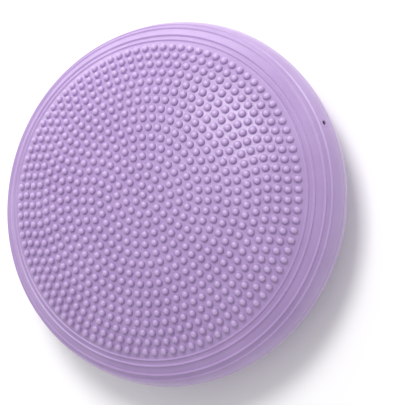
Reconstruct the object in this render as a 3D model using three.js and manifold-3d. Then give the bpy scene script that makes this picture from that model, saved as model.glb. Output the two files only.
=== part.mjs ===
// Inflated wobble cushion (balance disc), lying flat on a floor. Millimetres, +Z up.
// The origin is the centre of the flat patch that the underside rests on, and +X points through the valve.
//
// The real skin is one moulding of soft PVC that bends where its side wall bulges. Here it is divided at the
// places where it bends: an underside, a valve band, a shoulder and a crown that stay in shape, and the
// three zones between them that flex. All of them follow one outline, a flattened ball.

import * as THREE from "three";
import { mergeVertices } from "three/addons/utils/BufferGeometryUtils.js";
import Module from "manifold-3d";

// ---- Driving dimensions ----

const OUTER_RADIUS = 165; // at the mould's parting line, half the 330 mm diameter
const UPPER_RISE = 56.5; // skin at the crown above the parting line
const UPPER_EXPONENT = 2.15; // 2 is an ellipse, more is squarer
const LOWER_DEPTH = 50; // underside below the parting line, had it not been flattened
const LOWER_EXPONENT = 2.8;
const PARTING_HEIGHT = 47.5; // parting line above the floor, so the lowest 2.5 mm is pressed flat

const SKIN = 4; // wall thickness
const NUB_RINGS = 16; // concentric rings of massage nubs around the centre nub
const NUB_PITCH = 8.64; // between rings at the middle of the face, and about that between nubs in a ring
const NUB_CROWDING = 0.0228; // how much closer in plan the rings are at the edge, where the face falls away
const NUB_HEIGHT = 3.5;
const NUB_MARGIN = 3.8; // from the last ring's centres to the edge of the nubbed field
const NUBBED_SKIN = 4.5; // mean thickness from the nubs' tips to the inside

const RIDGE_RADII = [142.7, 147.6, 155.3, 159.6]; // raised beads around the shoulder, mirrored underneath
const RIDGE_HEIGHT = 0.9;
const RIDGE_HALF_WIDTH = 1.3;

// Where the skin is divided, as heights above the parting line.
const UNDERSIDE_TOP = -25.8;
const BAND_BOTTOM = -8;
const BAND_TOP = 18.2;
const SHOULDER_BOTTOM = 28.3;
const SHOULDER_TOP_RADIUS = 127;
const CROWN_RADIUS = 110;
const GAP = 0.3; // between neighbouring solids

const VALVE_ABOVE_PARTING = 10.5;
const NECK_RADIUS = 3.4; // visible rim around the needle hole
const NEEDLE_HOLE_RADIUS = 2.1;
const NECK_PROUD = 0; // flush with the skin
const FLANGE_RADIUS = 6;
const FLANGE_FACE = -5.7; // flange's outer face, measured inwards from the skin's surface
const FLANGE_THICKNESS = 2;
const STEM_RADIUS = 5;
const STEM_END = -18;
const POCKET_RADIUS = 3.2; // holds the body of the rubber core
const POCKET_TOP = -6;
const CORE_NOSE_END = -0.8; // the nose fills the needle hole up to just under its mouth
const CORE_SLIT_WIDTH = 2;
const CORE_SLIT_THICKNESS = 0.4;

const SKIN_SEGMENTS = 64; // around the cushion
const VALVE_SEGMENTS = 24;
const OUTLINE_STEP = 7; // length of one outline facet on the outside
const INSIDE_STEP = 13;

const SKIN_ROUGHNESS = 0.5;
const HOUSING_ROUGHNESS = 0.45;
const CORE_ROUGHNESS = 0.7;

// ---- Outline ----
// A point of the outline is given by a turn t, from 0 at the crown to a quarter turn at the parting line
// and half a turn at the centre of the underside.

const QUARTER = Math.PI / 2;

function outlinePoint(t) {
  const upper = t <= QUARTER;
  const depth = upper ? UPPER_RISE : -LOWER_DEPTH;
  const exponent = upper ? UPPER_EXPONENT : LOWER_EXPONENT;
  const reach = Math.abs(Math.cos(t)) ** (2 / exponent);
  return new THREE.Vector2(OUTER_RADIUS * Math.sin(t), PARTING_HEIGHT + depth * reach);
}

function outlineNormal(t) {
  const small = 0.002;
  const before = outlinePoint(Math.max(t - small, 0));
  const along = outlinePoint(Math.min(t + small, Math.PI)).sub(before);
  return new THREE.Vector2(-along.y, along.x).normalize();
}

// The turn at a height above the parting line.
function turnAtHeight(height) {
  const upper = height >= 0;
  const share = Math.abs(height) / (upper ? UPPER_RISE : LOWER_DEPTH);
  const t = Math.acos(share ** ((upper ? UPPER_EXPONENT : LOWER_EXPONENT) / 2));
  return upper ? t : Math.PI - t;
}

function turnAtRadius(radius, upper) {
  const t = Math.asin(radius / OUTER_RADIUS);
  return upper ? t : Math.PI - t;
}

// The turn reached by going a short length along the outline from t.
function turnAfter(t, length) {
  const small = 0.001 * Math.sign(length);
  const perUnit = outlinePoint(t + small).distanceTo(outlinePoint(t)) / Math.abs(small);
  return t + length / perUnit;
}

// The two turns of a ring that fills the space between its neighbours, less a gap at each end.
function between(above, below) {
  return [turnAfter(above, GAP), turnAfter(below, -GAP)];
}

// Turns from one end to the other in steps of about the given length.
function turnsBetween(from, to, step) {
  const length = outlinePoint(from).distanceTo(outlinePoint(to));
  const count = Math.max(2, Math.round(length / step));
  return Array.from({ length: count + 1 }, (_, i) => from + ((to - from) * i) / count);
}

// ---- Outside surface: outline, ridges and the tips of the nubs ----

const NUB_FIELD_RADIUS = NUB_RINGS * NUB_PITCH * (1 - NUB_CROWDING) + NUB_MARGIN;
const NUB_FIELD_TURN = turnAtRadius(NUB_FIELD_RADIUS, true);
const RIDGE_TURNS = [true, false].flatMap((upper) => RIDGE_RADII.map((r) => turnAtRadius(r, upper)));

function offsetPoint(t, offset) {
  return outlinePoint(t).addScaledVector(outlineNormal(t), offset);
}

// The outside from one turn to a larger one. Each ridge adds its two feet and its crest, and drops the
// plain points that would crowd it.
function outsidePoints(from, to, raised) {
  const stations = turnsBetween(from, to, OUTLINE_STEP).map((t) => ({ t, offset: raised(t) }));
  const beads = RIDGE_TURNS.filter((t) => t > turnAfter(from, 2) && t < turnAfter(to, -2));
  for (const crest of beads) {
    const feet = [turnAfter(crest, -RIDGE_HALF_WIDTH), turnAfter(crest, RIDGE_HALF_WIDTH)];
    const clear = turnAfter(crest, 2 * RIDGE_HALF_WIDTH) - crest;
    for (let i = stations.length - 2; i > 0; i -= 1) {
      if (Math.abs(stations[i].t - crest) < clear) stations.splice(i, 1);
    }
    stations.push({ t: feet[0], offset: 0 }, { t: crest, offset: RIDGE_HEIGHT }, { t: feet[1], offset: 0 });
  }
  stations.sort((a, b) => a.t - b.t);
  return stations.map(({ t, offset }) => offsetPoint(t, offset));
}

const level = () => 0;
const nubTips = (t) => (t < NUB_FIELD_TURN ? NUB_HEIGHT : 0);

// ---- Solids ----

function material(color, roughness) {
  return new THREE.MeshStandardMaterial({ color, roughness, metalness: 0 });
}

function turnedMesh(name, profile, segments, surface) {
  const geometry = new THREE.LatheGeometry(profile, segments);
  geometry.rotateX(QUARTER);
  const mesh = new THREE.Mesh(geometry, surface);
  mesh.name = name;
  return mesh;
}

// A ring of skin between two turns: up the outside, down the inside and closed on itself.
function skinRing(name, from, to, color, raised = level, thickness = SKIN) {
  const outside = outsidePoints(from, to, raised).reverse();
  const inside = turnsBetween(from, to, INSIDE_STEP).map((t) => offsetPoint(t, raised(t) - thickness));
  const profile = [...outside, ...inside, outside[0]];
  return turnedMesh(name, profile, SKIN_SEGMENTS, material(color, SKIN_ROUGHNESS));
}

// The underside is a shallow dish with a flat patch under it.
function underside() {
  const flatTurn = turnAtHeight(-PARTING_HEIGHT);
  const top = turnAtHeight(UNDERSIDE_TOP);
  const outside = outsidePoints(top, flatTurn, level).reverse();
  outside[0].y = 0;
  const inside = turnsBetween(top, flatTurn, INSIDE_STEP).map((t) => offsetPoint(t, -SKIN));
  inside.forEach((point) => {
    point.y = Math.max(point.y, SKIN);
  });
  const profile = [new THREE.Vector2(0, 0), ...outside, ...inside, new THREE.Vector2(0, SKIN)];
  return turnedMesh("underside_shell", profile, SKIN_SEGMENTS, material(0xa98fc6, SKIN_ROUGHNESS));
}

// The crown is the middle of the nubbed face.
function crown() {
  const edge = turnAtRadius(CROWN_RADIUS, true);
  const outside = turnsBetween(0, edge, OUTLINE_STEP * 1.5).map((t) => offsetPoint(t, NUB_HEIGHT));
  const inside = turnsBetween(0, edge, INSIDE_STEP).map((t) => offsetPoint(t, NUB_HEIGHT - NUBBED_SKIN));
  outside[0].x = 0;
  inside[0].x = 0;
  const profile = [...inside, ...outside.reverse()];
  return turnedMesh("crown_skin", profile, SKIN_SEGMENTS, material(0xc3abdf, SKIN_ROUGHNESS));
}

// ---- Valve ----
// Its parts are turned about their own axis, outwards along +Z before the group lays them through the wall.

function valveHousing() {
  const lip = 0.5;
  const outside = [
    [STEM_RADIUS, STEM_END],
    [STEM_RADIUS, FLANGE_FACE - FLANGE_THICKNESS],
    [FLANGE_RADIUS, FLANGE_FACE - FLANGE_THICKNESS],
    [FLANGE_RADIUS, FLANGE_FACE],
    [NECK_RADIUS, FLANGE_FACE],
    [NECK_RADIUS, NECK_PROUD - lip],
    [NECK_RADIUS - lip, NECK_PROUD],
    [NEEDLE_HOLE_RADIUS + lip, NECK_PROUD],
  ];
  const inside = [
    [NEEDLE_HOLE_RADIUS, NECK_PROUD - lip],
    [NEEDLE_HOLE_RADIUS, POCKET_TOP],
    [POCKET_RADIUS, POCKET_TOP],
    [POCKET_RADIUS, STEM_END],
    [STEM_RADIUS, STEM_END],
  ];
  const profile = [...outside, ...inside].map(([r, z]) => new THREE.Vector2(r, z));
  return turnedMesh("valve_housing", profile, VALVE_SEGMENTS, material(0xb79fd2, HOUSING_ROUGHNESS));
}

function valveCore() {
  const chamfer = 0.5;
  const bodyRadius = POCKET_RADIUS - GAP;
  const bodyTop = POCKET_TOP - GAP;
  const noseRadius = NEEDLE_HOLE_RADIUS - GAP;
  const bottom = STEM_END + GAP;
  const profile = [
    [0, bottom],
    [bodyRadius - chamfer, bottom],
    [bodyRadius, bottom + chamfer],
    [bodyRadius, bodyTop - chamfer],
    [bodyRadius - chamfer, bodyTop],
    [noseRadius, bodyTop],
    [noseRadius, CORE_NOSE_END - chamfer],
    [noseRadius - chamfer, CORE_NOSE_END],
    [0, CORE_NOSE_END],
  ].map(([r, z]) => new THREE.Vector2(r, z));
  const plug = turnedMesh("valve_core", profile, VALVE_SEGMENTS, material(0x2c2a2e, CORE_ROUGHNESS));
  const slitLength = 2 * (CORE_NOSE_END - bottom);
  const slit = new THREE.BoxGeometry(CORE_SLIT_WIDTH, CORE_SLIT_THICKNESS, slitLength);
  slit.translate(0, 0, (CORE_NOSE_END + bottom) / 2);
  return cut(plug, slit);
}

// ---- Boolean cut ----

const manifold = await Module();
manifold.setup();

function toSolid(geometry) {
  const bare = geometry.clone();
  bare.deleteAttribute("normal");
  bare.deleteAttribute("uv");
  const merged = mergeVertices(bare, 1e-4);
  const vertProperties = new Float32Array(merged.attributes.position.array);
  const triVerts = new Uint32Array(merged.index.array);
  return new manifold.Manifold(new manifold.Mesh({ numProp: 3, vertProperties, triVerts }));
}

function toGeometry(solid) {
  const { vertProperties, triVerts } = solid.getMesh();
  const geometry = new THREE.BufferGeometry();
  geometry.setAttribute("position", new THREE.BufferAttribute(vertProperties, 3));
  geometry.setIndex(new THREE.BufferAttribute(triVerts, 1));
  geometry.computeVertexNormals();
  return geometry;
}

// A copy of the mesh with a tool's volume taken out of it.
function cut(mesh, tool) {
  const left = toSolid(mesh.geometry).subtract(toSolid(tool));
  const result = new THREE.Mesh(toGeometry(left), mesh.material);
  result.name = mesh.name;
  return result;
}

// ---- Assembly ----

const undersideTop = turnAtHeight(UNDERSIDE_TOP);
const bandBottom = turnAtHeight(BAND_BOTTOM);
const bandTop = turnAtHeight(BAND_TOP);
const shoulderBottom = turnAtHeight(SHOULDER_BOTTOM);
const shoulderTop = turnAtRadius(SHOULDER_TOP_RADIUS, true);
const crownEdge = turnAtRadius(CROWN_RADIUS, true);

const valveTurn = turnAtHeight(VALVE_ABOVE_PARTING);
const valveMouth = outlinePoint(valveTurn);
const valveNormal = outlineNormal(valveTurn);

const valve = new THREE.Group();
valve.position.set(valveMouth.x, 0, valveMouth.y);
valve.rotation.y = Math.atan2(valveNormal.x, valveNormal.y);
valve.add(valveHousing(), valveCore());
valve.updateMatrix();

const neckHole = new THREE.CylinderGeometry(NECK_RADIUS + GAP, NECK_RADIUS + GAP, 6 * SKIN, VALVE_SEGMENTS);
neckHole.rotateX(QUARTER);
neckHole.applyMatrix4(valve.matrix);

const cushion = new THREE.Group();
cushion.add(
  underside(),
  skinRing("lower_wall", ...between(bandBottom, undersideTop), 0xb297cf),
  cut(skinRing("valve_band", bandTop, bandBottom, 0xa184bf), neckHole),
  skinRing("upper_wall", ...between(shoulderBottom, bandTop), 0xb89ed6),
  skinRing("shoulder_ring", shoulderTop, shoulderBottom, 0xa98cc8, nubTips, NUBBED_SKIN),
  skinRing("crown_surround", ...between(crownEdge, shoulderTop), 0xb59bd2, nubTips, NUBBED_SKIN),
  crown(),
  valve,
);

export default cushion;
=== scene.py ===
"""An inflated wobble cushion with massage nubs: its looks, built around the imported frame. Metres, +Z up.

The real skin is one moulding. The frame divides it where it bends, so each visible skin piece stands for one
CAD node, and all of them are cut from one surface, so that their edges meet at every pose.
"""

import math

import bpy
import numpy as np
from mathutils import Matrix, Vector


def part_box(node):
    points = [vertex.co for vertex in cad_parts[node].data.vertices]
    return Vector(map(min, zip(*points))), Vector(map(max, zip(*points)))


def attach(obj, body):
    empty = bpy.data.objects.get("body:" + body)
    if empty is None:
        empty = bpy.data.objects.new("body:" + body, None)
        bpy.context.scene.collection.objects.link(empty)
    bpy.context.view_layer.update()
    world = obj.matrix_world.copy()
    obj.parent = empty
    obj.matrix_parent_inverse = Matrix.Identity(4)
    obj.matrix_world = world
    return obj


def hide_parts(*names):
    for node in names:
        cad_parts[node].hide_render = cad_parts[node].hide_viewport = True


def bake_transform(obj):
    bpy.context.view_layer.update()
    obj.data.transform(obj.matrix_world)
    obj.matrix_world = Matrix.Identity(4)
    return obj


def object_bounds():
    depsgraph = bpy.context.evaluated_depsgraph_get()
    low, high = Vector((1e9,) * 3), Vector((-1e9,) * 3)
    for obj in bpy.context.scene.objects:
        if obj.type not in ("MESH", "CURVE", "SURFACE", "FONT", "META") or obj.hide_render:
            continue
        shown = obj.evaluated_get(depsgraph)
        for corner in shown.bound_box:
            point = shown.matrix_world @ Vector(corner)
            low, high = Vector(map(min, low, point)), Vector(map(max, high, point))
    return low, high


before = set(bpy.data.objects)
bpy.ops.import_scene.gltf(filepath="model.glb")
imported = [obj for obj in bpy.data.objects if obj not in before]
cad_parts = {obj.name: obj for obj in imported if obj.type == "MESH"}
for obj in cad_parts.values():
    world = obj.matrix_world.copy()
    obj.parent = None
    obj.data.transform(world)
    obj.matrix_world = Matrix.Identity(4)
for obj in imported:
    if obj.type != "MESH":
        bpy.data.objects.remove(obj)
CAD_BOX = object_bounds()
MM = 0.001

# ---- The cushion's outline, as the frame has it ----

BAND_LOW, BAND_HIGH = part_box("valve_band")
OUTER_RADIUS = (BAND_HIGH.y - BAND_LOW.y) / 2
TOP = CAD_BOX[1].z
NUB_HEIGHT = 3.5 * MM
PARTING_HEIGHT = 47.5 * MM
UPPER_RISE = TOP - NUB_HEIGHT - PARTING_HEIGHT
UPPER_EXPONENT = 2.15
LOWER_DEPTH = 50 * MM
LOWER_EXPONENT = 2.8
SKIN = 3.4 * MM
VALVE_HEIGHT = PARTING_HEIGHT + 10.5 * MM

NUB_PITCH = 8.64 * MM  # at the middle of the face
NUB_CROWDING = 0.0228  # how much closer in plan the rings are at the edge, where the face falls away
NUB_RINGS = 16
NUB_DOME = 3.25 * MM  # radius of a nub's round top
NUB_FOOT = 0.45 * MM  # radius of the fillet around it
NUB_SQUARENESS = 2.05  # 2 is a plain dome, more is a button with a flatter top
# How far each ring is turned from the valve's side, in eighths of the step between its nubs.
RING_TURN = (2, 7, 6.5, 5.5, 6.5, 0.5, 5, 3, 5, 3, 5, 4.5, 3.5, 0.5, 4.5, 2)

# Raised beads around the shoulder, by radius, and their heights. They are mirrored underneath.
RIDGES = ((142.7 * MM, 1.1 * MM), (147.6 * MM, 1.4 * MM), (155.3 * MM, 1.3 * MM), (159.6 * MM, 1.1 * MM))
RIDGE_WIDTH = 0.75 * MM
FLASH_HEIGHT = 0.45 * MM  # the mould's parting line
FLASH_WIDTH = 0.6 * MM

QUARTER = math.pi / 2

# The slow unevenness of an inflated skin: waves around the cushion, height and phase of each part.
SLACK = ((2, 0.22 * MM, 0.7), (3, 0.14 * MM, 2.1), (5, 0.08 * MM, 4.0))


def outline(t):
    """Radius and height of the plain outline at turn t: 0 is the crown, a quarter turn the parting line."""
    upper = t <= QUARTER
    depth = np.where(upper, UPPER_RISE, -LOWER_DEPTH)
    power = np.where(upper, 2 / UPPER_EXPONENT, 2 / LOWER_EXPONENT)
    return OUTER_RADIUS * np.sin(t), PARTING_HEIGHT + depth * np.abs(np.cos(t)) ** power


def outline_normal(t):
    small = 0.002
    r0, z0 = outline(np.maximum(t - small, 0))
    r1, z1 = outline(np.minimum(t + small, math.pi))
    length = np.hypot(r1 - r0, z1 - z0)
    return (z0 - z1) / length, (r1 - r0) / length


def turn_at_radius(radius, upper=True):
    t = np.arcsin(np.clip(np.asarray(radius) / OUTER_RADIUS, 0, 1))
    return t if upper else math.pi - t


def turn_at_height(z):
    upper = z >= PARTING_HEIGHT
    share = abs(z - PARTING_HEIGHT) / (UPPER_RISE if upper else LOWER_DEPTH)
    t = math.acos(share ** ((UPPER_EXPONENT if upper else LOWER_EXPONENT) / 2))
    return t if upper else math.pi - t


def along(t, landmark):
    """Distance along the outline from a landmark turn, near it."""
    r, z = outline(t)
    r0, z0 = outline(np.array([landmark]))
    return np.hypot(r - r0, z - z0)


def relief(t):
    """Height of the moulded ridges and of the flash line over the plain outline."""
    height = FLASH_HEIGHT * np.exp(-((along(t, QUARTER) / FLASH_WIDTH) ** 2))
    for radius, bead in RIDGES:
        for upper in (True, False):
            gap = along(t, float(turn_at_radius(radius, upper)))
            height = height + bead * np.exp(-((gap / RIDGE_WIDTH) ** 2))
    return height


def slack(t, az):
    """Height of the slow unevenness, which fades out towards the crown and the patch on the floor."""
    lobes = sum(height * np.sin(waves * az + phase) for waves, height, phase in SLACK)
    return lobes * np.sin(np.minimum(t, QUARTER)) ** 4 * np.clip(3 * np.sin(t) - 1.2, 0, 1)


def surface(t, az, height):
    """Points at a height over the skin."""
    t, az, height = (np.asarray(x, float) for x in (t, az, height))
    r, z = outline(t)
    nr, nz = outline_normal(t)
    over = height + relief(t) + slack(t, az)
    r = r + nr * over
    z = np.maximum(z + nz * over, 0)
    return np.stack([r * np.cos(az), r * np.sin(az), z], -1)


# ---- Meshes ----

TURNS = {}  # each skin piece's turn at every vertex
SHARP_ANGLE = math.radians(42)


class Shell:
    """A closed piece of skin, gathered as points (turn, azimuth, height over the skin) and faces."""

    def __init__(self):
        self.t, self.az, self.height, self.tip, self.faces = [], [], [], [], []
        self.count = 0

    def points(self, t, az, height, tip=0.0):
        t, az, height, tip = np.broadcast_arrays(*(np.asarray(x, float) for x in (t, az, height, tip)))
        for store, values in ((self.t, t), (self.az, az), (self.height, height), (self.tip, tip)):
            store.append(values.ravel())
        first = self.count
        self.count += t.size
        return np.arange(first, self.count).reshape(t.shape)

    def azimuths(self, loop):
        return np.concatenate(self.az)[loop]

    def lace(self, low, high):
        """Triangles between two closed loops, both counterclockwise, low further out from the crown."""
        a0, a1 = self.azimuths(low), self.azimuths(high)
        turn = 2 * math.pi
        start = int(np.argmin((a1 - a0[0]) % turn))
        high = np.roll(high, -start)
        steps_low = np.append((a0 - a0[0]) % turn, turn)
        steps_high = np.append((a1[(np.arange(len(a1)) + start) % len(a1)] - a0[0]) % turn, turn)
        i = j = 0
        while i < len(low) or j < len(high):
            next_low = steps_low[i + 1] if i < len(low) else math.inf
            next_high = steps_high[j + 1] if j < len(high) else math.inf
            p, q = low[i % len(low)], high[j % len(high)]
            if next_low <= next_high:
                i += 1
                self.faces.append((p, low[i % len(low)], q))
            else:
                j += 1
                self.faces.append((p, high[j % len(high)], q))

    def quads(self, rows):
        """Quads between loops of equal length, first row furthest out from the crown."""
        for low, high in zip(rows[:-1], rows[1:]):
            following = np.roll(low, -1), np.roll(high, -1)
            self.faces += list(zip(low, following[0], following[1], high))

    def make(self, name, material):
        t, az, height = (np.concatenate(x) for x in (self.t, self.az, self.height))
        mesh = bpy.data.meshes.new(name)
        faces = [tuple(int(i) for i in face) for face in self.faces]
        mesh.from_pydata(surface(t, az, height).tolist(), [], faces)
        # nub_tip is how far up its nub each point stands; it is the mask of the painted highlight on the nub
        # tips.
        tip = mesh.attributes.new("nub_tip", "FLOAT", "POINT")
        tip.data.foreach_set("value", np.concatenate(self.tip).astype(np.float32))
        TURNS[name] = t
        return finished(mesh, material)


def shade(mesh):
    """Smooth, except at real edges."""
    mesh.shade_smooth()
    mesh.set_sharp_from_angle(angle=SHARP_ANGLE)


def finished(mesh, material):
    """A shaded object of the mesh."""
    mesh.validate()
    shade(mesh)
    mesh.materials.append(material)
    obj = bpy.data.objects.new(mesh.name, mesh)
    bpy.context.scene.collection.objects.link(obj)
    return obj


# ---- The nubbed face ----

SIDE = 5  # points along each side of a nub's cell
DOME_STEPS = 6
FOOT_STEPS = 3


def ring_radius(n):
    """Plan radius of ring n. A half stands for the edge between two rings."""
    return n * NUB_PITCH * (1 - NUB_CROWDING * (n / NUB_RINGS) ** 2)


def nub_profile():
    """Distance from the nub's axis and height, from just beside its top to the end of its fillet."""
    up = np.linspace(0, QUARTER, DOME_STEPS + 1)[1:]
    down = np.linspace(0, QUARTER, FOOT_STEPS + 1)[1:]
    power = 2 / NUB_SQUARENESS
    dome = np.sin(up) ** power, np.abs(np.cos(up)) ** power
    out = np.concatenate([NUB_DOME * dome[0], NUB_DOME + NUB_FOOT * (1 - np.cos(down))])
    high = np.concatenate([NUB_FOOT + (NUB_HEIGHT - NUB_FOOT) * dome[1], NUB_FOOT * (1 - np.sin(down))])
    return out, high


def plan_points(shell, x, y, height, tip):
    return shell.points(turn_at_radius(np.hypot(x, y)), np.arctan2(y, x), height, tip)


def nubs(shell, centre_x, centre_y, edge_x, edge_y, edge):
    """Nubs inside their cells. Each row of edge is one cell's outline, counterclockwise, as point indices."""
    out, high = nub_profile()
    toward = np.arctan2(edge_y - centre_y[:, None], edge_x - centre_x[:, None])
    x = centre_x[:, None, None] + out[None, :, None] * np.cos(toward)[:, None, :]
    y = centre_y[:, None, None] + out[None, :, None] * np.sin(toward)[:, None, :]
    share = np.broadcast_to((high / NUB_HEIGHT)[None, :, None], x.shape)
    grid = plan_points(shell, x, y, share * NUB_HEIGHT, share)
    top = plan_points(shell, centre_x, centre_y, NUB_HEIGHT, 1.0)
    for cell in range(len(centre_x)):
        rows = [edge[cell], *grid[cell][::-1]]
        shell.quads(rows)
        inner = rows[-1]
        shell.faces += [(a, b, top[cell]) for a, b in zip(inner, np.roll(inner, -1))]


def nub_ring(shell, n, inner_gap, outer_gap):
    """Ring n of 6n nubs. Gives its inner and outer edge loops."""
    cells = 6 * n
    step = 2 * math.pi / cells
    start = RING_TURN[n - 1] / 8 * step
    inner_radius = ring_radius(n - 0.5) + inner_gap
    outer_radius = ring_radius(n + 0.5) - outer_gap
    az = start - step / 2 + np.arange(cells * SIDE) * step / SIDE
    loops = []
    for radius in (inner_radius, outer_radius):
        loops.append(plan_points(shell, radius * np.cos(az), radius * np.sin(az), 0.0, 0.0))
    radii = np.linspace(inner_radius, outer_radius, SIDE + 1)[1:-1]
    walls_az = az[::SIDE][:, None]
    walls = plan_points(shell, radii * np.cos(walls_az), radii * np.sin(walls_az), 0.0, 0.0)
    inner, outer = loops
    after = np.roll(np.arange(cells), -1)
    inner_sides = inner.reshape(cells, SIDE)
    outer_sides = outer.reshape(cells, SIDE)
    edge = np.concatenate(
        [inner_sides[:, :1], walls, outer_sides, outer_sides[after, :1], walls[after, ::-1],
         inner_sides[after, :1], inner_sides[:, :0:-1]], axis=1)
    t_all, az_all = np.concatenate(shell.t), np.concatenate(shell.az)
    radius_all = OUTER_RADIUS * np.sin(t_all)
    edge_x, edge_y = (radius_all * np.cos(az_all))[edge], (radius_all * np.sin(az_all))[edge]
    centre_az = start + np.arange(cells) * step
    reach = ring_radius(n)
    nubs(shell, reach * np.cos(centre_az), reach * np.sin(centre_az), edge_x, edge_y, edge)
    return inner, outer


STITCH = 0.25 * MM  # half the strip between two rings, whose counts differ
SEAM = 0.004 * MM  # half the gap between two pieces


def nub_field(shell, first, last):
    """Rings first to last, laced together. Ring 0 is the centre nub. Gives the edge loops."""
    innermost = previous = None
    for n in range(first, last + 1):
        outer_gap = SEAM if n == last else STITCH
        if n == 0:
            count = 6 * SIDE
            radius = ring_radius(0.5) - outer_gap
            az = np.arange(count) * 2 * math.pi / count
            x, y = radius * np.cos(az), radius * np.sin(az)
            outer = plan_points(shell, x, y, 0.0, 0.0)
            nubs(shell, np.zeros(1), np.zeros(1), x[None], y[None], outer[None])
        else:
            inner, outer = nub_ring(shell, n, SEAM if n == first else STITCH, outer_gap)
            if previous is None:
                innermost = inner
            else:
                shell.lace(inner, previous)
        previous = outer
    return innermost, previous


LINING_STEP = 12 * MM


def lining(shell, outer, inner):
    """Closes a piece of skin from below, from its outer edge loop to its inner one, or to a point."""
    t_all, az_all = np.concatenate(shell.t), np.concatenate(shell.az)
    t_out = t_all[outer[0]]
    t_in = t_all[inner[0]] if inner is not None else 0.0
    loop = shell.points(t_out, az_all[outer], -SKIN)
    shell.quads([loop, outer])
    steps = max(2, round(OUTER_RADIUS * abs(t_out - t_in) / LINING_STEP))
    for t in np.linspace(t_out, t_in, steps + 1)[1:-1]:
        following = shell.points(t, az_all[outer], -SKIN)
        shell.quads([following, loop])
        loop = following
    if inner is None:
        centre = int(shell.points(0.0, 0.0, -SKIN).ravel()[0])
        shell.faces += [(b, a, centre) for a, b in zip(loop, np.roll(loop, -1))]
        return
    last = shell.points(t_in, az_all[inner], -SKIN)
    before = len(shell.faces)
    shell.lace(loop, last)
    shell.faces[before:] = [face[::-1] for face in shell.faces[before:]]
    shell.quads([inner, last])


def nubbed_piece(name, first, last, material):
    shell = Shell()
    inner, outer = nub_field(shell, first, last)
    lining(shell, outer, inner)
    return shell.make(name, material)


# ---- The plain and ridged skin ----

AROUND = 6 * NUB_RINGS * SIDE
PLAIN_STEP = 2.2 * MM
FINE_STEP = 0.3 * MM
FINE_RELIEF = 0.002 * MM  # relief from which the fine step is used
OUTLINE_SAMPLES = 4000
VALVE_REACH = math.radians(4)  # finely divided to each side of the valve
VALVE_STATIONS = 57
UNDERSIDE_LININGS = 14


def stations(t_high, t_low):
    """Turns down the outline, close together over the ridges and the flash line."""
    t = np.linspace(t_high, t_low, OUTLINE_SAMPLES)
    r, z = outline(t)
    run = np.hypot(np.diff(r), np.diff(z))
    near = relief(t) > FINE_RELIEF
    rate = np.where(near[:-1], 1 / FINE_STEP, 1 / PLAIN_STEP)
    walked = np.concatenate([[0], np.cumsum(run * rate)])
    count = math.ceil(walked[-1])
    return np.interp(np.linspace(0, walked[-1], count + 1), walked, t)


def around(fine_near_valve=False):
    """Azimuths around the cushion."""
    az = np.arange(AROUND) * 2 * math.pi / AROUND
    if fine_near_valve:
        elsewhere = az[(az > VALVE_REACH) & (az < 2 * math.pi - VALVE_REACH)]
        az = np.concatenate([elsewhere, np.linspace(-VALVE_REACH, VALVE_REACH, VALVE_STATIONS)])
    return np.sort(az % (2 * math.pi))


def skin_rows(shell, turns, az, height=0.0):
    return [shell.points(t, az, height) for t in turns]


def ring_piece(name, t_high, t_low, material, fine_near_valve=False):
    """A closed ring of skin between two turns."""
    shell = Shell()
    az = around(fine_near_valve)
    outside = skin_rows(shell, stations(t_high, t_low), az)
    count = max(2, round(OUTER_RADIUS * abs(t_low - t_high) / LINING_STEP))
    inside = skin_rows(shell, np.linspace(t_low, t_high, count + 1), az, -SKIN)
    shell.quads([*outside, *inside, outside[0]][::-1])
    return shell.make(name, material)


def underside_piece(name, t_high, material):
    """The dish under the cushion, closed at its centre."""
    shell = Shell()
    az = around()
    outside = skin_rows(shell, stations(t_high, math.pi)[:-1], az)
    inside = skin_rows(shell, np.linspace(math.pi, t_high, UNDERSIDE_LININGS)[1:], az, -SKIN)
    bottom = int(shell.points(math.pi, 0.0, 0.0).ravel()[0])
    inner_bottom = int(shell.points(math.pi, 0.0, -SKIN).ravel()[0])
    shell.quads([*inside, *outside][::-1])
    last, first = outside[-1], inside[0]
    shell.faces += [(b, a, bottom) for a, b in zip(last, np.roll(last, -1))]
    shell.faces += [(a, b, inner_bottom) for a, b in zip(first, np.roll(first, -1))]
    return shell.make(name, material)


def shoulder_piece(name, material):
    """The last two rings of nubs, the plain skin around them and the first ridge."""
    shell = Shell()
    inner, nub_edge = nub_field(shell, NUB_RINGS - 1, NUB_RINGS)
    az = np.concatenate(shell.az)[nub_edge]
    start = turn_at_radius(ring_radius(NUB_RINGS + 0.5))
    rows = skin_rows(shell, stations(start, SHOULDER_FOOT)[1:], az)
    shell.quads([*rows[::-1], nub_edge])
    lining(shell, rows[-1], inner)
    return shell.make(name, material)


# ---- Materials ----


def srgb(r, g, b):
    """A linear colour from 0 to 255 display values."""
    return tuple(((c / 255 + 0.055) / 1.055) ** 2.4 for c in (r, g, b)) + (1.0,)


def new_material(name):
    material = bpy.data.materials.new(name)
    material.use_nodes = True
    tree = material.node_tree
    return material, tree, tree.nodes["Principled BSDF"]


def link(tree, start, out, end, into):
    tree.links.new(start.outputs[out], end.inputs[into])


def add_noise(tree, scale, detail=3.0, roughness=0.5):
    place = tree.nodes.new("ShaderNodeTexCoord")
    noise = tree.nodes.new("ShaderNodeTexNoise")
    noise.inputs["Scale"].default_value = scale
    noise.inputs["Detail"].default_value = detail
    noise.inputs["Roughness"].default_value = roughness
    link(tree, place, "Object", noise, "Vector")
    return noise


def add_range(tree, source, out, low, high, from_low=0.3, from_high=0.7):
    node = tree.nodes.new("ShaderNodeMapRange")
    node.inputs["From Min"].default_value = from_low
    node.inputs["From Max"].default_value = from_high
    node.inputs["To Min"].default_value = low
    node.inputs["To Max"].default_value = high
    link(tree, source, out, node, "Value")
    return node


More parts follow.
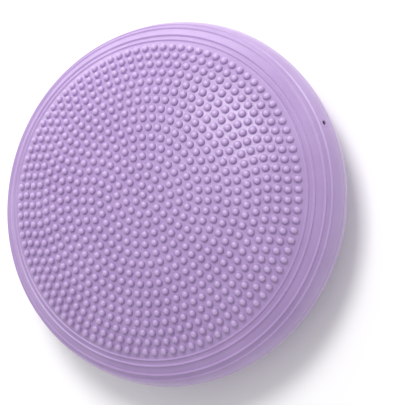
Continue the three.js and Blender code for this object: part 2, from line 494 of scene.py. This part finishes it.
def pvc(name, light, dark, painted_tip_highlight):
    """Satin soft PVC: a slightly uneven pigment, a painted highlight that makes the nub tips paler, and a
    fine moulded grain.
    """
    material, tree, shader = new_material(name)
    cloud = add_noise(tree, 22.0, 4.0, 0.55)
    pigment = tree.nodes.new("ShaderNodeMix")
    pigment.data_type = "RGBA"
    pigment.inputs["A"].default_value = dark
    pigment.inputs["B"].default_value = light
    spread = add_range(tree, cloud, "Fac", 0.0, 1.0)
    link(tree, spread, "Result", pigment, "Factor")

    # Painted highlight: the nub tips are mixed towards the paler tip colour by the nub_tip attribute.
    tip = tree.nodes.new("ShaderNodeAttribute")
    tip.attribute_name = "nub_tip"
    tip_highlight_mix = tree.nodes.new("ShaderNodeMix")
    tip_highlight_mix.data_type = "RGBA"
    tip_highlight_mix.inputs["B"].default_value = painted_tip_highlight
    share = add_range(tree, tip, "Fac", 0.0, 0.8, 0.55, 1.0)
    link(tree, pigment, "Result", tip_highlight_mix, "A")
    link(tree, share, "Result", tip_highlight_mix, "Factor")
    tree.links.new(tip_highlight_mix.outputs["Result"], shader.inputs["Base Color"])

    grain = add_noise(tree, 1500.0, 2.0, 0.6)
    haze = add_noise(tree, 160.0, 3.0, 0.5)
    gloss = add_range(tree, haze, "Fac", 0.33, 0.43)
    link(tree, gloss, "Result", shader, "Roughness")
    rough = tree.nodes.new("ShaderNodeBump")
    rough.inputs["Distance"].default_value = 0.05 * MM
    rough.inputs["Strength"].default_value = 0.35
    link(tree, grain, "Fac", rough, "Height")
    orange = tree.nodes.new("ShaderNodeBump")
    orange.inputs["Distance"].default_value = 0.12 * MM
    orange.inputs["Strength"].default_value = 0.25
    link(tree, haze, "Fac", orange, "Height")
    link(tree, rough, "Normal", orange, "Normal")
    link(tree, orange, "Normal", shader, "Normal")

    shader.inputs["IOR"].default_value = 1.5
    shader.inputs["Specular IOR Level"].default_value = 0.7
    shader.inputs["Sheen Weight"].default_value = 0.3
    shader.inputs["Sheen Roughness"].default_value = 0.35
    shader.inputs["Subsurface Weight"].default_value = 0.12
    shader.inputs["Subsurface Radius"].default_value = (1.0, 0.75, 1.1)
    shader.inputs["Subsurface Scale"].default_value = 2.5 * MM
    return material


def black_rubber():
    material, tree, shader = new_material("core_rubber")
    cloud = add_noise(tree, 400.0)
    colour = tree.nodes.new("ShaderNodeMix")
    colour.data_type = "RGBA"
    colour.inputs["A"].default_value = srgb(24, 22, 26)
    colour.inputs["B"].default_value = srgb(44, 41, 48)
    link(tree, cloud, "Fac", colour, "Factor")
    tree.links.new(colour.outputs["Result"], shader.inputs["Base Color"])
    bump = tree.nodes.new("ShaderNodeBump")
    bump.inputs["Distance"].default_value = 0.05 * MM
    link(tree, cloud, "Fac", bump, "Height")
    link(tree, bump, "Normal", shader, "Normal")
    shader.inputs["Roughness"].default_value = 0.62
    return material


# ---- Valve ----

NEEDLE_HOLE = 2.1 * MM
NECK = 3.4 * MM
FLANGE = 6 * MM
STEM = 5 * MM
POCKET = 3.2 * MM
BORE_CLEARANCE = 0.03 * MM
DRILL_LENGTH = 30 * MM
DRILL_SIDES = 72


def valve_place():
    """The valve's own frame: its origin on the skin's surface and its Z axis out through the skin."""
    t = np.array([turn_at_height(VALVE_HEIGHT)])
    (x, y, z), = surface(t, np.zeros(1), 0.0)
    nr, nz = outline_normal(t)
    out = Vector((nr[0], 0, nz[0]))
    side = Vector((0, 1, 0))
    axes = Matrix((side.cross(out), side, out)).transposed()
    return Matrix.Translation((x, y, z)) @ axes.to_4x4()


def arc(centre, radius, start, end, steps=6):
    angles = np.radians(np.linspace(start, end, steps + 1))
    return [(centre[0] + radius * math.cos(a), centre[1] + radius * math.sin(a)) for a in angles]


def turned(name, profile, material, segments=64):
    """A closed solid turned about Z from a closed profile of (radius, height), counterclockwise."""
    angles = np.arange(segments) * 2 * math.pi / segments
    points = [(r * math.cos(a), r * math.sin(a), z) for r, z in profile for a in angles]
    faces = []
    for i in range(len(profile)):
        low, high = i * segments, (i + 1) % len(profile) * segments
        for j in range(segments):
            k = (j + 1) % segments
            faces.append((low + j, low + k, high + k, high + j))
    mesh = bpy.data.meshes.new(name)
    mesh.from_pydata(points, [], faces)
    return finished(mesh, material)


def valve_housing(material):
    """The neck whose rim shows around the needle hole, its flange behind the skin, and its stem."""
    lip = 0.4 * MM
    face, back = -5.7 * MM, -7.7 * MM
    end, pocket_top = -18 * MM, -6 * MM
    rim = 0.1 * MM
    profile = [
        (STEM, end), (STEM, back), *arc((FLANGE - lip, back + lip), lip, -90, 0),
        *arc((FLANGE - lip, face - lip), lip, 0, 90), (NECK, face),
        *arc((NECK - lip, rim - lip), lip, 0, 90), *arc((NEEDLE_HOLE + lip, rim - lip), lip, 90, 180),
        (NEEDLE_HOLE, pocket_top), (POCKET, pocket_top), (POCKET, end),
    ]
    return turned("valve_neck", profile, material)


def bore_skin(skin, place, radius):
    """Cuts the valve's hole through a piece of skin."""
    bpy.ops.mesh.primitive_cylinder_add(vertices=DRILL_SIDES, radius=radius, depth=DRILL_LENGTH)
    drill = bpy.context.object
    drill.matrix_world = place
    cut = skin.modifiers.new("valve_hole", "BOOLEAN")
    cut.operation = "DIFFERENCE"
    cut.solver = "EXACT"
    cut.object = drill
    bpy.context.view_layer.update()
    evaluated = skin.evaluated_get(bpy.context.evaluated_depsgraph_get())
    bored = bpy.data.meshes.new_from_object(evaluated)
    skin.modifiers.clear()
    old, skin.data = skin.data, bored
    bpy.data.meshes.remove(old)
    bored.name = skin.name
    bpy.data.objects.remove(drill)
    shade(bored)


# ---- Camera, floor and light ----


def look(position, right, up):
    """The world matrix of something at a position whose image axes are given."""
    right, up = Vector(right).normalized(), Vector(up).normalized()
    axes = Matrix((right, up, right.cross(up))).transposed()
    return Matrix.Translation(position) @ axes.to_4x4()


def camera():
    """A camera about one and a half metres away that looks steeply down, rolled as a catalogue picture is."""
    lean = math.radians(24.7)  # from straight down
    roll = math.radians(74.5)
    bearing = math.radians(-38.85)  # of the near side, from the valve's side
    distance = 1.456
    near = Vector((math.cos(bearing), math.sin(bearing), 0))
    across = Vector((-math.sin(bearing), math.cos(bearing), 0))
    back = near * math.sin(lean) + Vector((0, 0, math.cos(lean)))
    slope = near * math.cos(lean) - Vector((0, 0, math.sin(lean)))
    right = slope * math.sin(roll) + across * math.cos(roll)
    up = -slope * math.cos(roll) + across * math.sin(roll)
    aim = Vector((0, 0, TOP)) + right * 0.0528 - up * 0.0069  # beside the crown, so that it is off centre
    data = bpy.data.cameras.new("camera")
    data.sensor_width = 36
    data.lens = 148.7  # in millimetres, as the sensor's width is
    data.clip_start, data.clip_end = 0.05, 50
    obj = bpy.data.objects.new("camera", data)
    obj.matrix_world = look(aim + back * distance, right, up)
    bpy.context.scene.collection.objects.link(obj)
    bpy.context.scene.camera = obj
    return right, up, back


def floor():
    mesh = bpy.data.meshes.new("floor")
    reach = 6.0
    corners = [(-reach, -reach, 0), (reach, -reach, 0), (reach, reach, 0), (-reach, reach, 0)]
    mesh.from_pydata(corners, [], [(0, 1, 2, 3)])
    material, tree, shader = new_material("floor")
    paper = add_range(tree, add_noise(tree, 6.0), "Fac", 0.93, 0.95)
    link(tree, paper, "Result", shader, "Base Color")
    shader.inputs["Roughness"].default_value = 0.9
    shader.inputs["Specular IOR Level"].default_value = 0.1
    mesh.materials.append(material)
    obj = bpy.data.objects.new("floor", mesh)
    bpy.context.scene.collection.objects.link(obj)


def area_light(name, direction, distance, width, height, power):
    """A soft light panel that shines on the cushion from a direction."""
    data = bpy.data.lights.new(name, "AREA")
    data.shape = "RECTANGLE"
    data.size = width
    data.size_y = height
    data.energy = power
    obj = bpy.data.objects.new(name, data)
    direction = Vector(direction).normalized()
    obj.location = Vector((0, 0, PARTING_HEIGHT)) + direction * distance
    obj.rotation_mode = "QUATERNION"
    obj.rotation_quaternion = direction.to_track_quat("Z", "Y")
    bpy.context.scene.collection.objects.link(obj)


def studio(right, up, back):
    world = bpy.data.worlds.new("studio")
    world.use_nodes = True
    world.node_tree.nodes["Background"].inputs["Color"].default_value = (1, 1, 1, 1)
    world.node_tree.nodes["Background"].inputs["Strength"].default_value = 0.65
    bpy.context.scene.world = world
    key = up * 0.7 - right * 0.4 + back * 0.9
    area_light("key_light", key, distance=2.4, width=0.8, height=0.8, power=34)
    rear = up - right * 0.5
    rear.z = 0.22  # low, so that it grazes the far side of the shoulder
    area_light("rear_light", rear, distance=1.8, width=3.0, height=0.8, power=20)
    bpy.context.scene.view_settings.view_transform = "Standard"


# ---- The object ----

CROWN_LAST = 10  # last nub ring of the middle piece
SURROUND_LAST = NUB_RINGS - 2
SHOULDER_FOOT = turn_at_height(PARTING_HEIGHT + 28.3 * MM)
BAND_TOP = turn_at_height(PARTING_HEIGHT + 18.2 * MM)
BAND_FOOT = turn_at_height(PARTING_HEIGHT - 5 * MM)
UNDERSIDE_EDGE = turn_at_height(PARTING_HEIGHT - 25.8 * MM)


def up_z(height):
    return (0, 0, height)


def blend_by_turn(piece, a, b, start, end):
    """Sets each point of a piece to the height of the plain skin under it, bakes the piece's transform, and
    puts the points back.
    """
    mesh = piece.data
    shape = np.empty(len(mesh.vertices) * 3)
    mesh.vertices.foreach_get("co", shape)
    foot = shape.copy()
    foot[2::3] = outline(TURNS[piece.name])[1]
    mesh.vertices.foreach_set("co", foot)
    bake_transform(piece)
    mesh.vertices.foreach_set("co", shape)
    mesh.update()


right, up, back = camera()
floor()
studio(right, up, back)

# The third colour of each material is the painted highlight on the nub tips.
skin = pvc("soft_pvc", srgb(173, 146, 195), srgb(164, 136, 187), srgb(190, 165, 209))
fitting = pvc("valve_pvc", srgb(178, 153, 199), srgb(171, 146, 193), srgb(181, 157, 202))

crown = nubbed_piece("crown_nubs", 0, CROWN_LAST, skin)
surround = nubbed_piece("surround_nubs", CROWN_LAST + 1, SURROUND_LAST, skin)
shoulder = shoulder_piece("shoulder_nubs", skin)
upper_wall = ring_piece("shoulder_ridges", SHOULDER_FOOT, BAND_TOP, skin)
band = ring_piece("valve_wall", BAND_TOP, BAND_FOOT, skin, fine_near_valve=True)
lower_wall = ring_piece("lower_ridges", BAND_FOOT, UNDERSIDE_EDGE, skin)
underside = underside_piece("underside_skin", UNDERSIDE_EDGE, skin)

place = valve_place()
bore_skin(band, place, NECK + BORE_CLEARANCE)
neck = valve_housing(fitting)
neck.matrix_world = place
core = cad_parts["valve_core"]
core.data.materials.clear()
core.data.materials.append(black_rubber())

for piece, node in (
    (crown, "crown_skin"),
    (surround, "crown_surround"),
    (shoulder, "shoulder_ring"),
    (upper_wall, "upper_wall"),
    (band, "valve_band"),
    (lower_wall, "lower_wall"),
    (underside, "underside_shell"),
):
    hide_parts(node)
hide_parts("valve_housing")

# The crown sinks into the shoulder, the shoulder tilts on the valve band, and the band tilts on the base. The
# hinge heights are given here, but no blend is made from them; the band and the valve neck are hung on the
# waist.
CROWN_HINGE = up_z(PARTING_HEIGHT + 39.2 * MM), up_z(TOP - NUB_HEIGHT - 1.5 * MM)
UPPER_HINGE = up_z(PARTING_HEIGHT + 18.3 * MM), up_z(PARTING_HEIGHT + 38.5 * MM)
for piece in (crown, surround):
    blend_by_turn(piece, "rim", "crown", *CROWN_HINGE)
for piece in (shoulder, upper_wall):
    blend_by_turn(piece, "waist", "rim", *UPPER_HINGE)
for piece in (lower_wall, underside):
    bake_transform(piece)
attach(band, "waist")
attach(neck, "waist")
